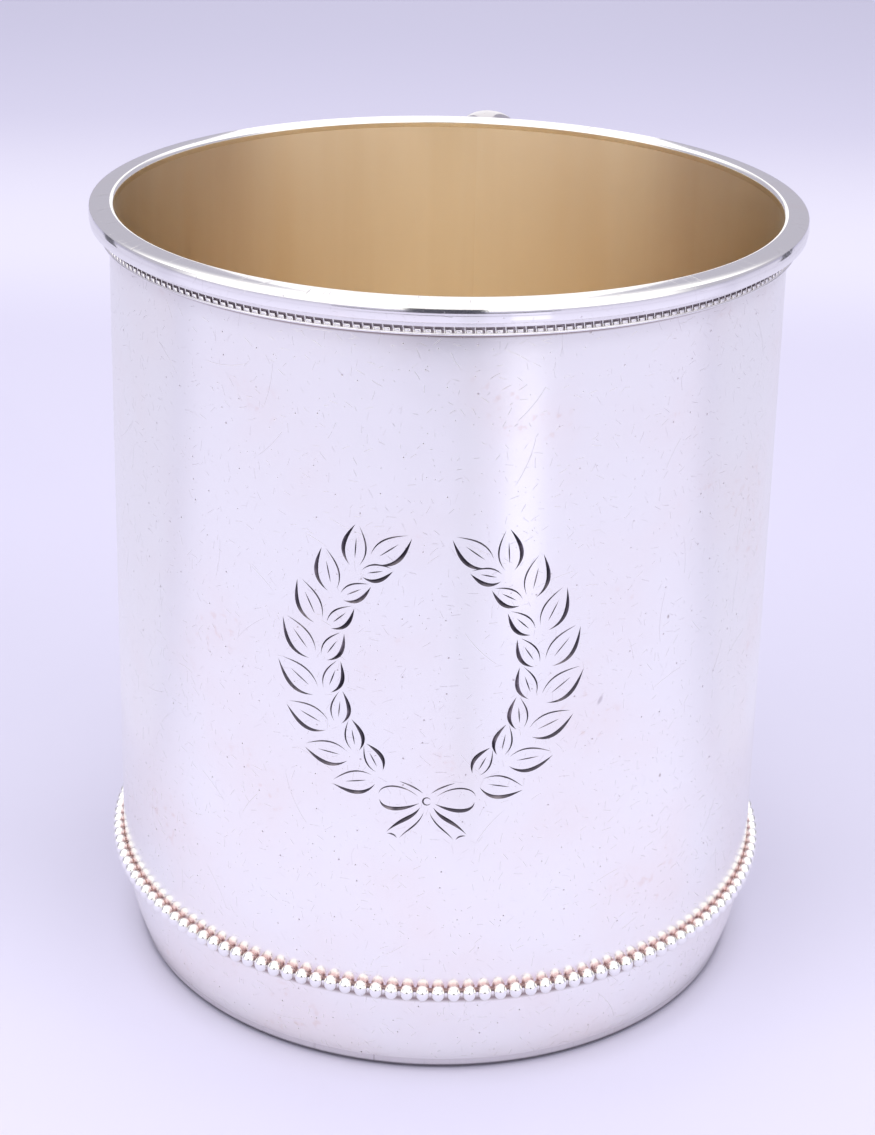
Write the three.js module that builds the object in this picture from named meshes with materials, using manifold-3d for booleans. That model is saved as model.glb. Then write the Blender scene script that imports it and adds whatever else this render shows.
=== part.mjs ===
// Silver mug soldered up from sheet and drawn wire: a drum that flares towards the foot, a flat base plate,
// a flat-faced rim wire over a milled strip, a beaded wire above the foot and an ear-shaped handle.
// Millimetres, +Z up. The origin is the middle of the underside, and the handle stands on +Y.

import * as THREE from 'three';
import { mergeVertices } from 'three/addons/utils/BufferGeometryUtils.js';
import Module from 'manifold-3d';

// Drum: its outside radius at the beaded wire, how much it narrows up to the lip and tucks in at its lower
// edge, and the sheet that it is rolled from
const HEIGHT = 86.7;
const FOOT_RADIUS = 37.05;
const WALL_TAPER = 1.2;
const FOOT_TUCK = 1.7;
const LIP_RADIUS = FOOT_RADIUS - WALL_TAPER;
const WALL = 0.6;
const LIP_ROUNDING = 0.4;

// Base plate, and how far the drum's tucked-in lower edge stands out over it
const LOWER_EDGE_OVERHANG = 0.15;
const BASE_RADIUS = FOOT_RADIUS - FOOT_TUCK - LOWER_EDGE_OVERHANG;
const BASE_THICKNESS = 1.3;
const BASE_EDGE_ROUNDING = 0.8;

// Rim wire: an upright face under a low crown, rounded along its lower edge
const RIM_WIRE_HEIGHT = 2.6;
const RIM_WIRE_REACH = 2.05;
const RIM_CROWN_RISE = 0.45;
const RIM_LOWER_ROUNDING = 0.5;

// Milled strip: a flat wire notched into dentils, with a plain fillet left along its lower edge
const STRIP_REACH = 0.95;
const FILLET_HEIGHT = 0.3;
const DENTIL_HEIGHT = 0.6;
const DENTIL_WIDTH = 0.6;
const DENTIL_PITCH = 0.95;
const DENTIL_SETBACK = 0.06;
const NOTCH_DEPTH = 0.5;
const FILLET_BEDDING = 0.1;

// Beaded wire: pearls on a thin neck, flattened at the back where they are soldered to the wall
const BEAD_WIDTH = 1.38;
const BEAD_HEIGHT = 1.74;
const BEAD_DEPTH = 1.5;
const BEAD_BACK = 0.6;
const BEAD_NECK = 0.52;
const BEAD_PITCH = 1.65;
const BEAD_RISE = 11.4;

// Handle: its joints with the wall, its outline in the YZ plane and its section
const HANDLE_UPPER_DROP = 9.9;
const HANDLE_LOWER_RISE = 10.6;
const HANDLE_TOP_DROP = 2.6;
const HANDLE_WIDEST_DROP = 20;
const HANDLE_TOP_REACH = 15;
const HANDLE_REACH = 30;
const HANDLE_UPPER_LEAD = 7;
const HANDLE_TOP_WIDTH = 7.4;
const HANDLE_LOWER_WIDTH = 5.4;
const HANDLE_CROWN = 2.3;
const HANDLE_BELLY = 1.3;
const HANDLE_ROOT = 3;

// Joints: the solder under the applied wires and the fitted gap at the handle's two ends
const SOLDER_FILM = 0.05;
const HANDLE_JOINT = 0.3;

// Facets
const ROUND_SEGMENTS = 72;
const TUCK_STEPS = 4;
const ROUNDING_STEPS = 3;
const RIM_CROWN_STEPS = 4;
const BEAD_STEPS = 3;
const BEAD_SIDES = 6;
const HANDLE_STEPS = 40;
const HANDLE_SECTION_STEPS = 4;

// Finishes
const SILVER = 0xdcd9d6;
const SATIN = 0.28;
const POLISHED = 0.16;

const QUARTER_ARC = 0.5523;
const WELD_DISTANCE = 1e-4;

const wasm = await Module();
wasm.setup();

// Heights that several pieces share
const drumBottom = BASE_THICKNESS + SOLDER_FILM;
const rimWireBottom = HEIGHT - RIM_WIRE_HEIGHT;
const stripTop = rimWireBottom - SOLDER_FILM;
const filletTop = stripTop - DENTIL_HEIGHT;
const stripBottom = filletTop - FILLET_HEIGHT;
const handleTop = HEIGHT - HANDLE_TOP_DROP;
const handleUpper = stripBottom - HANDLE_UPPER_DROP;
const handleLower = BEAD_RISE + HANDLE_LOWER_RISE;

// Outside radius of the drum's straight wall at a height
function wallRadius(height) {
  const share = (height - BEAD_RISE) / (HEIGHT - BEAD_RISE);
  return THREE.MathUtils.lerp(FOOT_RADIUS, LIP_RADIUS, share);
}

// Points on the drum's tuck: an arc that leaves the straight wall upright and ends at the lower edge
function tuckPoints(inset) {
  const drop = BEAD_RISE - drumBottom;
  const arcRadius = (drop * drop + FOOT_TUCK * FOOT_TUCK) / (2 * FOOT_TUCK);
  const sweep = Math.asin(drop / arcRadius);
  const points = [];
  for (let step = TUCK_STEPS; step >= 0; step -= 1) {
    const angle = (sweep * step) / TUCK_STEPS;
    const radius = FOOT_RADIUS - arcRadius * (1 - Math.cos(angle));
    points.push([radius - inset, BEAD_RISE - arcRadius * Math.sin(angle)]);
  }
  return points;
}

// Points on an elliptical arc about a centre, between two angles from the outward direction
function arcPoints(centre, reach, rise, from, to, steps) {
  const curve = new THREE.EllipseCurve(centre[0], centre[1], reach, rise, from, to);
  return curve.getPoints(steps).map((point) => [point.x, point.y]);
}

// A point in the XY plane at a radius and an angle round the mug
function polar(radius, angle) {
  return new THREE.Vector2(radius * Math.cos(angle), radius * Math.sin(angle));
}

// A body of revolution about the Z axis, from a profile of [radius, height] pairs
function revolve(profile) {
  const points = profile.map(([radius, height]) => new THREE.Vector2(radius, height));
  return new THREE.LatheGeometry(points, ROUND_SEGMENTS).rotateX(Math.PI / 2);
}

// A body of revolution whose profile closes on itself
function revolveRing(profile) {
  return revolve([...profile, profile[0]]);
}

function toSolid(geometry) {
  const bare = geometry.clone();
  bare.deleteAttribute('normal');
  bare.deleteAttribute('uv');
  const welded = mergeVertices(bare, WELD_DISTANCE);
  return new wasm.Manifold(new wasm.Mesh({
    numProp: 3,
    vertProperties: welded.attributes.position.array,
    triVerts: Uint32Array.from(welded.index.array),
  }));
}

function toGeometry(solid) {
  const mesh = solid.getMesh();
  const geometry = new THREE.BufferGeometry();
  geometry.setAttribute('position', new THREE.BufferAttribute(mesh.vertProperties, 3));
  geometry.setIndex(new THREE.BufferAttribute(mesh.triVerts, 1));
  geometry.computeVertexNormals();
  return geometry;
}

// The wall: up the outside, over the rounded inner edge of the lip and down the inside
function bodyDrum() {
  const outside = [...tuckPoints(0), [LIP_RADIUS, HEIGHT]];
  const lipCentre = [LIP_RADIUS - WALL + LIP_ROUNDING, HEIGHT - LIP_ROUNDING];
  const lip = arcPoints(lipCentre, LIP_ROUNDING, LIP_ROUNDING, Math.PI / 2, Math.PI, ROUNDING_STEPS);
  const inside = tuckPoints(WALL).reverse();
  return revolveRing([...outside, ...lip, ...inside]);
}

// A flat disc with its lower edge rounded over
function basePlate() {
  const edgeCentre = [BASE_RADIUS - BASE_EDGE_ROUNDING, BASE_EDGE_ROUNDING];
  const rounding = BASE_EDGE_ROUNDING;
  const edge = arcPoints(edgeCentre, rounding, rounding, -Math.PI / 2, 0, ROUNDING_STEPS);
  return revolve([[0, 0], ...edge, [BASE_RADIUS, BASE_THICKNESS], [0, BASE_THICKNESS]]);
}

// Wire whose flat back follows the wall and whose crown is level with the lip
function rimWire() {
  const quarter = Math.PI / 2;
  const rounding = RIM_LOWER_ROUNDING;
  const lowerCentre = [RIM_WIRE_REACH - rounding, rimWireBottom + rounding];
  const lower = arcPoints(lowerCentre, rounding, rounding, -quarter, 0, ROUNDING_STEPS);
  const crownCentre = [0, HEIGHT - RIM_CROWN_RISE];
  const crown = arcPoints(crownCentre, RIM_WIRE_REACH, RIM_CROWN_RISE, 0, quarter, RIM_CROWN_STEPS);
  const section = [[0, rimWireBottom], ...lower, ...crown];
  return revolveRing(section.map(([reach, height]) => [wallRadius(height) + SOLDER_FILM + reach, height]));
}

// The dentil row seen from above: flat-topped dentils with a notch between each two
function dentilOutline(tipRadius, backRadius) {
  const count = Math.round((2 * Math.PI * tipRadius) / DENTIL_PITCH);
  const halfTip = DENTIL_WIDTH / (2 * tipRadius);
  const points = [];
  for (let index = 0; index < count; index += 1) {
    const angle = (2 * Math.PI * index) / count;
    points.push(polar(tipRadius, angle - halfTip));
    points.push(polar(tipRadius, angle + halfTip));
    points.push(polar(tipRadius - NOTCH_DEPTH, angle + Math.PI / count));
  }
  const back = [];
  for (let index = 0; index < ROUND_SEGMENTS; index += 1) {
    back.push(polar(backRadius, (2 * Math.PI * index) / ROUND_SEGMENTS));
  }
  const outline = new THREE.Shape(points);
  outline.holes.push(new THREE.Path(back));
  return outline;
}

// The milled strip: the dentil row, bedded in the fillet below it
function milledStrip() {
  const backRadius = wallRadius(stripBottom) + SOLDER_FILM;
  const faceRadius = wallRadius(stripBottom) + STRIP_REACH;
  const tipRadius = faceRadius - DENTIL_SETBACK;
  const fillet = revolveRing([
    [backRadius, stripBottom],
    [faceRadius, stripBottom],
    [faceRadius, filletTop],
    [backRadius, filletTop],
  ]);
  const row = new THREE.ExtrudeGeometry(dentilOutline(tipRadius, backRadius + SOLDER_FILM), {
    depth: DENTIL_HEIGHT + FILLET_BEDDING,
    bevelEnabled: false,
  });
  row.translate(0, 0, filletTop - FILLET_BEDDING);
  return toGeometry(toSolid(fillet).add(toSolid(row)));
}

// A ring whose section swells into pearls, each an ellipsoid that stops at the neck to its neighbours
function beadedWire() {
  const circle = wallRadius(BEAD_RISE) + SOLDER_FILM + BEAD_BACK;
  const count = Math.round((2 * Math.PI * circle) / BEAD_PITCH);
  const pitch = (2 * Math.PI * circle) / count;
  const ring = new THREE.TorusGeometry(circle, BEAD_DEPTH / 2, BEAD_SIDES, count * BEAD_STEPS);
  const flatBackTurn = Math.PI / BEAD_SIDES;
  const position = ring.attributes.position;
  for (let index = 0; index < position.count; index += 1) {
    const x = position.getX(index);
    const y = position.getY(index);
    const angle = Math.atan2(y, x);
    const side = Math.atan2(position.getZ(index), Math.hypot(x, y) - circle) + flatBackTurn;
    const pearlShare = THREE.MathUtils.euclideanModulo((angle * count) / (2 * Math.PI), 1);
    const fromMiddle = ((pearlShare - 0.5) * pitch) / (BEAD_WIDTH / 2);
    const swell = Math.sqrt(Math.max(1 - fromMiddle ** 2, (BEAD_NECK / BEAD_DEPTH) ** 2));
    const reach = Math.max((BEAD_DEPTH / 2) * swell * Math.cos(side), -BEAD_BACK);
    const place = polar(circle + reach, angle);
    position.setXYZ(index, place.x, place.y, (BEAD_HEIGHT / 2) * swell * Math.sin(side));
  }
  return ring.translate(0, 0, BEAD_RISE);
}

// The ear's centre line: up and out from the upper joint, over the top, down and back in to the lower joint
function handleLine() {
  const fromWall = (reach, height) => new THREE.Vector3(0, wallRadius(height) + reach, height);
  const upper = fromWall(-HANDLE_ROOT, handleUpper);
  const top = fromWall(HANDLE_TOP_REACH, handleTop - HANDLE_CROWN);
  const widest = fromWall(HANDLE_REACH - HANDLE_CROWN, top.z - HANDLE_WIDEST_DROP);
  const lower = fromWall(-HANDLE_ROOT, handleLower);
  const line = new THREE.CurvePath();
  const outwards = new THREE.Vector3(0, 1, 0);
  const downwards = new THREE.Vector3(0, 0, -1);
  const shift = (point, direction, distance) => point.clone().addScaledVector(direction, distance);
  line.add(new THREE.CubicBezierCurve3(
    upper,
    shift(upper, outwards, HANDLE_UPPER_LEAD),
    shift(top, outwards, -HANDLE_UPPER_LEAD),
    top,
  ));
  line.add(new THREE.CubicBezierCurve3(
    top,
    shift(top, outwards, QUARTER_ARC * (widest.y - top.y)),
    shift(widest, downwards, QUARTER_ARC * (widest.z - top.z)),
    widest,
  ));
  line.add(new THREE.CubicBezierCurve3(
    widest,
    shift(widest, downwards, QUARTER_ARC * (widest.z - lower.z)),
    shift(lower, outwards, QUARTER_ARC * (widest.y - lower.y)),
    lower,
  ));
  return line;
}

// A crowned bar along the ear, narrower towards its lower end and fitted to the wall at both ends
function handle() {
  const section = new THREE.Shape();
  section.absellipse(0, 0, HANDLE_TOP_WIDTH / 2, HANDLE_CROWN, 0, Math.PI);
  section.absellipse(0, 0, HANDLE_TOP_WIDTH / 2, HANDLE_BELLY, Math.PI, 2 * Math.PI);
  const bar = new THREE.ExtrudeGeometry(section, {
    steps: HANDLE_STEPS,
    curveSegments: HANDLE_SECTION_STEPS,
    extrudePath: handleLine(),
  });
  const position = bar.attributes.position;
  for (let index = 0; index < position.count; index += 1) {
    const share = (position.getZ(index) - handleLower) / (handleTop - handleLower);
    const width = THREE.MathUtils.lerp(HANDLE_LOWER_WIDTH, HANDLE_TOP_WIDTH, share);
    position.setX(index, (position.getX(index) * width) / HANDLE_TOP_WIDTH);
  }
  const insideRadius = LIP_RADIUS - 2 * HANDLE_ROOT;
  const wall = revolveRing([
    [insideRadius, BEAD_RISE],
    [FOOT_RADIUS + HANDLE_JOINT, BEAD_RISE],
    [LIP_RADIUS + HANDLE_JOINT, HEIGHT],
    [insideRadius, HEIGHT],
  ]);
  return toGeometry(toSolid(bar).subtract(toSolid(wall)));
}

function piece(name, geometry, roughness) {
  const material = new THREE.MeshStandardMaterial({ color: SILVER, roughness, metalness: 1 });
  const mesh = new THREE.Mesh(geometry, material);
  mesh.name = name;
  return mesh;
}

const mug = new THREE.Group();
mug.add(piece('body_drum', bodyDrum(), SATIN));
mug.add(piece('base_plate', basePlate(), SATIN));
mug.add(piece('rim_wire', rimWire(), POLISHED));
mug.add(piece('milled_strip', milledStrip(), SATIN));
mug.add(piece('beaded_wire', beadedWire(), POLISHED));
mug.add(piece('handle', handle(), POLISHED));

export default mug;
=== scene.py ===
"""Dresses a soldered silver mug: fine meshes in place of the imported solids, worn metal finishes, an
engraved wreath, a pale studio floor and a camera at the photograph's viewing angle.
Metres, +Z up, handle on +Y."""

import math

import bmesh
import bpy
from bpy.props import FloatProperty, FloatVectorProperty, IntProperty, PointerProperty
from mathutils import Matrix, Vector
from mathutils.geometry import interpolate_bezier


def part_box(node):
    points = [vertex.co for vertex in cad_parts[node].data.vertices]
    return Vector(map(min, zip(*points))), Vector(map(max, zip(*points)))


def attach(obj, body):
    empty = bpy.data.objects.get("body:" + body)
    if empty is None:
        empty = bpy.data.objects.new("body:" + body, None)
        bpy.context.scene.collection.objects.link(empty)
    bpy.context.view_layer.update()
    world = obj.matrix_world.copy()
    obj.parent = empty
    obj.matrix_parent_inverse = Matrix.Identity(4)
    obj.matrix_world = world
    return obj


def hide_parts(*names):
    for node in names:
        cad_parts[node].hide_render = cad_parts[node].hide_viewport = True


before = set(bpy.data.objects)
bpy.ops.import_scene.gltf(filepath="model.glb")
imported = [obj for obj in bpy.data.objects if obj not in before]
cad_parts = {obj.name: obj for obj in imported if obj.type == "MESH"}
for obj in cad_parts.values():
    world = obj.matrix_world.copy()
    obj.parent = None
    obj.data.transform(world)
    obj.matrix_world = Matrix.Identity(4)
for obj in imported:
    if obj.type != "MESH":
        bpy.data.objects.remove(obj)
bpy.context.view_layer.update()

bl_info = {
    "name": "Silver Mug",
    "version": (1, 0, 0),
    "blender": (4, 5, 0),
    "location": "View3D > Sidebar > Mug",
    "description": "Builds the fine pieces, finishes and studio of a soldered silver mug",
    "category": "Object",
}

MM = 0.001
BODY = "root"
ROUND_STEPS = 288
STROKE_POINTS = 17
BEND_POINTS = 41
MERGE_DISTANCE = 1e-7
SAME_HEIGHT = 1e-5
TINY_SWELL = 1e-6
SMOOTH_ANGLE = math.radians(35)
PEARL_SMOOTH_ANGLE = math.radians(60)
ENGRAVED_SMOOTH_ANGLE = math.radians(20)
PHOTO_HEIGHT_PX = 1135
SENSOR_MM = 36.0

# How far a soldered piece reaches into what it sits on
SOLDER = 0.05 * MM

# Slots of the drum's finishes, and the second slot of the base plate and the milled strip
DRUM_OUTSIDE, DRUM_GILT, DRUM_CUT, DRUM_LIP = range(4)
SECOND_FINISH = 1

# A face belongs to a side when its normal leans that way by more than this share
LEANS_OUT = 0.3
LIES_FLAT = 0.9

# Shares of a mark's size: the cores at full strength, and the ends and edges that fade out
SCRATCH_CORE = 0.35
SCRATCH_TAPER = 0.25
NICK_EDGE = 0.3
SPOT_CORE = 0.3

# Larger marks on the wall, placed by the distance round from the front and the height
SMUDGE_PLACE = (20.5 * MM, 43.9 * MM)
SMUDGE_SIZE = (0.75 * MM, 0.3 * MM)
SMUDGE_TURN = math.radians(-62)
FLECK_PLACES = ((28.8 * MM, 51.2 * MM), (28.9 * MM, 32.9 * MM))
FLECK_SIZE = (0.22 * MM, 0.3 * MM)

# Distances behind the mug's axis, as the camera sees it, over which the paper changes: into painted shade
# beside the mug, out of it behind, and through a painted lit stretch further back
SIDE_STRETCH = (-0.035, 0.015)
BACK_STRETCH = (0.045, 0.12)
LIT_RISE = (0.2, 0.28)
LIT_FALL = (0.42, 0.29)

# Share of a quarter circle's radius that bends a Bezier curve along it
QUARTER_BEND = 0.5523

# Lean from the stem, and share of the full size, of the leaves inside and outside the wreath
INNER_LEAF = (math.radians(34), 0.68)
OUTER_LEAF = (math.radians(40), 0.92)
LEAF_STALK = 0.1
TIP_LEAF = 0.85

# Where the pairs and the tip leaf stand on a branch, as shares of its line, and how pairs shrink
PAIRS_RUN = (0.1, 0.9)
LARGEST_PAIR = 0.45
LEAF_LOSS = 0.32
TIP_RISE = 0.97
RISE_STEP = 0.02

# Shape of a leaf, in shares of its length: its two strokes' bulges, and where strokes and vein run
SHADED_BULGE = 0.25
HAIRLINE_BULGE = -0.21
LEAF_RUN = (0.06, 0.96)
LEAF_FULLNESS = 0.82
VEIN_RUN = (0.2, 0.7)
VEIN_WIDTH = 0.8

# The wreath's knot, the heights over the wall where a cut starts and its wedge ends, and the wedge's taper
KNOT_DROP = 1.2 * MM
KNOT_RADIUS = 0.42 * MM
CUT_START = 0.01 * MM
CUT_LIFT = 0.12 * MM
CUT_RISE = 8

# Rounded edges of the milled strip, overlap of its parts, gap under the rim wire, and how far the ridges
# lie behind the dentils as a share of the notches' depth
DENTIL_ROUNDING = 0.11 * MM
RIDGE_ROUNDING = 0.03 * MM
STRIP_ROUNDING = 0.12 * MM
STRIP_OVERLAP = 0.03 * MM
STRIP_CLEARANCE = 0.02 * MM
RIDGE_SETBACK = 0.6

# Parts of a direction, upwards or backwards, over which the sky and its light grow bright
OVERHEAD = (0.42, 0.66)
IN_FRONT = (0.0, -0.35)
LIGHT_RISE = (0.2, 0.7)

# Height of the flat cards over the floor
CARD_LIFT = 0.5 * MM


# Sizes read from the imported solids

def ring_radius(node, height):
    """Largest distance from the axis among a node's vertices at a height."""
    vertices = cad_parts[node].data.vertices
    return max(vert.co.xy.length for vert in vertices if abs(vert.co.z - height) < SAME_HEIGHT)


DRUM_LOW, DRUM_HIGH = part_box("body_drum")
BASE_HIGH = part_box("base_plate")[1]
STRIP_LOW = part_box("milled_strip")[0]
BEAD_LOW, BEAD_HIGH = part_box("beaded_wire")
HANDLE_LOW, HANDLE_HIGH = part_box("handle")
LIP_RADIUS = ring_radius("body_drum", DRUM_HIGH.z)
LOWER_EDGE_RADIUS = ring_radius("body_drum", DRUM_LOW.z)
BEAD_RISE = (BEAD_LOW.z + BEAD_HIGH.z) / 2


# Properties

def number(label, description, default, **settings):
    return FloatProperty(name=label, description=description, default=default, **settings)


def length(label, description, default):
    return number(label, description, default, unit="LENGTH", min=0.0, precision=5)


def angle(label, description, degrees):
    return number(label, description, math.radians(degrees), subtype="ANGLE")


def share(label, description, default):
    return number(label, description, default, subtype="FACTOR", min=0.0, max=1.0)


def count(label, description, default):
    return IntProperty(name=label, description=description, default=default, min=1)


def colour(label, description, default):
    return FloatVectorProperty(
        name=label,
        description=description,
        default=(*default, 1.0),
        size=4,
        min=0.0,
        soft_max=1.0,
        subtype="COLOR",
    )


class MugBody(bpy.types.PropertyGroup):
    """Sizes of the drum and the base plate."""

    height: length("Height", "Height of the lip over the table", DRUM_HIGH.z)
    foot_radius: length("Foot radius", "Outside radius of the drum at the beaded wire", DRUM_HIGH.x)
    lip_radius: length("Lip radius", "Outside radius of the drum at the lip", LIP_RADIUS)
    edge_radius: length("Edge radius", "Outside radius of the drum's lower edge", LOWER_EDGE_RADIUS)
    edge_height: length("Edge height", "Height of the drum's lower edge", DRUM_LOW.z)
    bead_rise: length("Bead rise", "Height where the wall starts to tuck in", BEAD_RISE)
    wall: length("Wall", "Thickness of the sheet", 0.6 * MM)
    lip_rounding: length("Lip rounding", "Radius of the lip's inner edge", 0.5 * MM)
    gilt_gap: length("Gilt gap", "Bare silver between the lip's inner edge and the gilding", 0.5 * MM)
    base_radius: length("Base radius", "Radius of the base plate", BASE_HIGH.x)
    base_thickness: length("Base thickness", "Thickness of the base plate", BASE_HIGH.z)
    base_rounding: length("Base rounding", "Radius of the base plate's lower edge", 0.6 * MM)


class MugTrim(bpy.types.PropertyGroup):
    """Sizes of the rim wire, the milled strip and the beaded wire."""

    rim_height: length("Rim height", "Height of the rim wire", 1.92 * MM)
    rim_reach: length("Rim reach", "How far the rim wire stands out from the wall", 2.05 * MM)
    rim_crown: length("Rim crown", "Rise of the crown over the rim wire's face", 0.34 * MM)
    rim_roll: length("Rim roll", "Height of the rolled face under the crown", 0.64 * MM)
    rim_curve: length("Rim curve", "Radius of the rolled face", 2.5 * MM)
    rim_slope: angle("Rim slope", "Slope of the rolled face where the crown ends", 16.0)
    rim_under: length("Rim under", "Radius where the roll turns in to the plain band", 0.2 * MM)
    rim_rounding: length("Rim rounding", "Radius of the rim wire's lower edge", 0.3 * MM)
    strip_bottom: length("Strip bottom", "Height of the milled strip's lower edge", STRIP_LOW.z + 0.14 * MM)
    strip_reach: length("Strip reach", "How far the strip stands out from the wall", 0.95 * MM)
    fillet_height: length("Fillet height", "Plain edge under the dentils", 0.27 * MM)
    dentil_count: count("Dentils", "Dentils round the strip", 243)
    dentil_width: length("Dentil width", "Width of one dentil", 0.6 * MM)
    dentil_height: length("Dentil height", "Height of one dentil's face", 0.34 * MM)
    # The groove's darkness is painted shade and tarnish, laid on by the notch finish
    dentil_gap: length("Dentil gap", "Dark groove over the dentils", 0.22 * MM)
    dentil_setback: length("Dentil setback", "How far the dentils lie behind the fillet's face", 0.1 * MM)
    dentil_lean: angle("Dentil lean", "How far the dentils lean over sideways", 12.0)
    ridge_width: length("Ridge width", "Width of the ridge beside each dentil", 0.15 * MM)
    notch_depth: length("Notch depth", "Depth of the notches between the dentils", 0.3 * MM)
    bead_count: count("Pearls", "Pearls round the beaded wire", 144)
    bead_width: length("Pearl width", "Width of one pearl round the mug", 1.46 * MM)
    bead_height: length("Pearl height", "Height of one pearl", 1.74 * MM)
    bead_depth: length("Pearl depth", "Depth of one pearl before its back is flattened", 1.5 * MM)
    bead_back: length("Pearl back", "Distance from a pearl's middle to its flat back", 0.6 * MM)
    bead_neck: length("Pearl neck", "Thickness of the wire between two pearls", 0.34 * MM)
    neck_setback: length("Neck setback", "How far the neck lies behind the pearls' middle", 0.45 * MM)


class MugHandle(bpy.types.PropertyGroup):
    """Sizes of the ear-shaped handle."""

    top: length("Top", "Height of the ear's top", HANDLE_HIGH.z)
    reach: length("Reach", "Distance from the axis to the ear's outside", HANDLE_HIGH.y)
    width: length("Width", "Width of the bar at the top", HANDLE_HIGH.x - HANDLE_LOW.x)
    lower_width: length("Lower width", "Width of the bar at its lower end", 5.4 * MM)
    crown: length("Crown", "Rise of the bar's outer side", 2.3 * MM)
    belly: length("Belly", "Rise of the bar's inner side", 1.3 * MM)
    top_reach: length("Top reach", "Distance from the wall to the highest point", 15 * MM)
    widest_drop: length("Widest drop", "Drop from the highest to the widest point", 20 * MM)
    lead: length("Lead", "How far the bar runs straight out of its upper joint", 7 * MM)
    root: length("Root", "How far the bar's line starts inside the wall", 3 * MM)
    upper_joint: length("Upper joint", "Height of the upper joint", 73.25 * MM)
    lower_joint: length("Lower joint", "Height of the lower joint", 22 * MM)
    seat: length("Seat", "How far the ends are set into the sheet", 0.3 * MM)


class MugWreath(bpy.types.PropertyGroup):
    """Sizes of the engraved wreath on the front."""

    height: length("Height", "Height of the wreath's middle over the table", 48.6 * MM)
    bearing: angle("Bearing", "Angle round the mug from the front", 3.8)
    half_width: length("Half width", "From the middle to a branch's line", 11.4 * MM)
    half_height: length("Half height", "From the middle to the tie", 13.4 * MM)
    leaf_length: length("Leaf length", "Length of the longest leaves", 6.4 * MM)
    leaf_pairs: count("Leaf pairs", "Pairs of leaves on each branch", 8)
    thick: length("Thick stroke", "Widest part of the shaded strokes", 0.46 * MM)
    thin: length("Thin stroke", "Widest part of the hairlines", 0.2 * MM)
    steepness: share("Steepness", "Depth of a cut as a share of its width", 0.42)


class MugFinish(bpy.types.PropertyGroup):
    """Colours of the metals and their wear, some of them also laid on as painted shade."""

    silver: colour("Silver", "Clean silver", (0.965, 0.962, 0.935))
    gilt: colour("Gilt", "Gold wash inside", (0.915, 0.82, 0.655))
    gilt_deep: colour("Deep gilt", "Thicker streaks of the gold wash", (0.87, 0.75, 0.56))
    stain: colour("Stain", "Pale copper stain under the polish", (0.96, 0.92, 0.88))
    # Also laid on as painted shade round the base plate's edge and over the whole handle
    scratch: colour("Scratch", "Dull bottom of a scratch", (0.42, 0.37, 0.40))
    # Brown of real tarnish flecks, also laid on as painted shade under the milled strip and between the
    # pearls, and as the band under the pearls
    tarnish_and_shade: colour("Tarnish", "Brown tarnish beside the wires", (0.20, 0.12, 0.11))
    blush: colour("Blush", "Pink tarnish above the pearls", (0.74, 0.54, 0.57))
    fleck: colour("Fleck", "Small copper flecks in the stains", (0.80, 0.60, 0.52))
    # Also laid on as painted shade in the milled strip's notches and as a painted contact shadow low round
    # the base plate
    cut: colour("Cut", "Dark bottom of the engraved strokes", (0.085, 0.075, 0.095))


class MugStage(bpy.types.PropertyGroup):
    """The floor, the light and the camera."""

    floor: colour("Floor", "Pale paper in front of the mug", (0.73, 0.705, 0.89))
    # Painted shade: the paper beside the mug is darker, standing in for the shade the mug casts round
    # itself
    floor_shaded_near: colour("Near floor", "Paper on both sides of the mug", (0.63, 0.61, 0.775))
    floor_back: colour("Back floor", "Paper behind the mug", (0.685, 0.66, 0.845))
    floor_far: colour("Far floor", "Paper further back, where it falls into shade", (0.615, 0.597, 0.785))
    floor_lit: colour("Lit floor", "Paper behind the mug, before it falls into shade", (0.78, 0.757, 0.915))
    floor_span: length("Floor span", "Side of the square floor", 6.0)
    shade_start: length("Shade start", "Distance behind the mug where the paper starts to darken", 0.28)
    shade_end: length("Shade end", "Distance behind the mug where the paper is darkest", 0.55)
    sky: colour("Sky", "What the metal sees overhead and in front", (1.32, 1.30, 1.32))
    back_sky: colour("Back sky", "What the metal sees low at the back", (0.52, 0.50, 0.59))
    top_light: colour("Top light", "Light that falls from overhead", (0.73, 0.72, 0.73))
    low_light: colour("Low light", "Light that falls from low down", (0.45, 0.44, 0.45))
    lamp_power: number("Lamp power", "Power of the overhead lamp", 5.6, unit="POWER")
    lamp_size: length("Lamp size", "Side of the square overhead lamp", 0.7)
    lamp_height: length("Lamp height", "Height of the overhead lamp", 0.95)
    lamp_front: length("Lamp front", "How far the overhead lamp hangs in front of the mug", 0.03)
    camera_bearing: angle("Camera bearing", "Angle of the camera round the mug from the front", 5.3)
    camera_pitch: angle("Camera pitch", "How far the camera looks down", 24.40)
    camera_roll: angle("Camera roll", "How far the camera leans sideways", -1.239)
    camera_distance: length("Camera distance", "Distance of the camera from the axis", 0.230845)
    camera_height: length("Camera height", "Height of the camera over the table", 0.148009)
    camera_aside: number("Camera aside", "How far the camera stands to the right", -0.000402, unit="LENGTH")
    focal_px: number("Focal length", "Focal length in photograph pixels", 2220.4)


# Shapes

def wall_radius(body, height):
    """Outside radius of the drum's straight wall at a height."""
    rise = (height - body.bead_rise) / (body.height - body.bead_rise)
    return body.foot_radius + (body.lip_radius - body.foot_radius) * rise


def spread(start, end, steps):
    """Values in even steps from start to end, both ends included."""
    return [start + (end - start) * step / steps for step in range(steps + 1)]


def arc(centre, reach, rise, start, end, steps):
    """Points of an elliptical arc, as (radius, height), between two angles from the outward direction."""
    turns = spread(start, end, steps)
    return [(centre[0] + reach * math.cos(turn), centre[1] + rise * math.sin(turn)) for turn in turns]


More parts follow.
